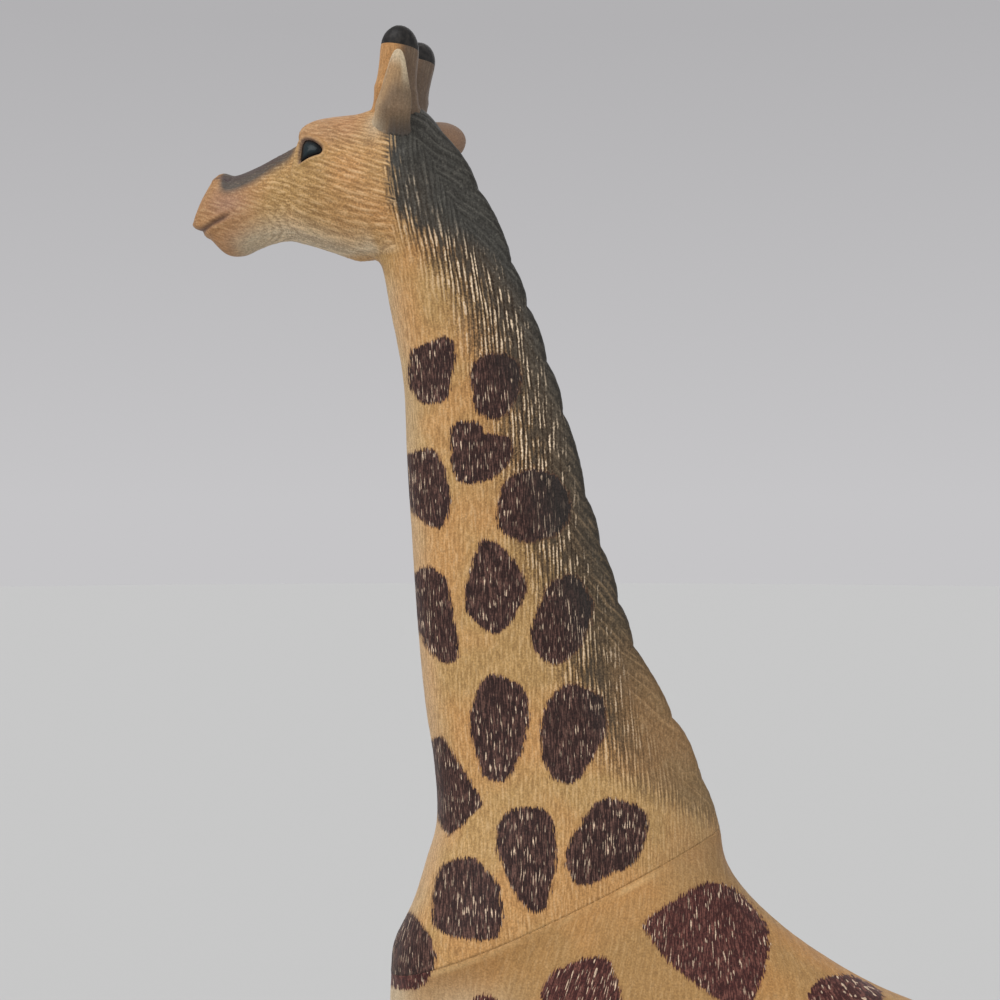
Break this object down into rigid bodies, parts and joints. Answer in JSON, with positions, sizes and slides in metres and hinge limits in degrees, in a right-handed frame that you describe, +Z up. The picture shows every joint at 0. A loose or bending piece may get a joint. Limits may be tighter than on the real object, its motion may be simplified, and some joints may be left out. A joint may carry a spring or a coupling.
{
  "type": "toy giraffe figure",
  "caption": "Standing toy giraffe in hollow painted vinyl, its head turned aside, with a mane, horns, spots, cloven hooves and a tufted tail.",
  "frame": {"origin": "on the ground under the middle of the figure's box", "axes": "+Z up, -X the way the figure faces, -Y its left flank, which the picture shows"},
  "size_m": [0.1798, 0.0522, 0.3281],
  "materials": {
    "body_coat": "satin painted vinyl with engraved coat",
    "neck_coat": "satin painted vinyl with engraved coat and mane",
    "leg_coat": "satin painted vinyl with engraved coat",
    "tail": "satin painted vinyl",
    "ear": "satin painted vinyl",
    "eye": "high gloss"
  },
  "bodies": {
    "root": {"body_shell": "body_coat", "neck_and_head": "neck_coat", "front_leg_left": "leg_coat", "front_leg_right": "leg_coat", "hind_leg_left": "leg_coat", "hind_leg_right": "leg_coat", "tail": "tail", "ear_left": "ear", "ear_right": "ear", "eye_left": "eye", "eye_right": "eye"}
  },
  "joints": []
}
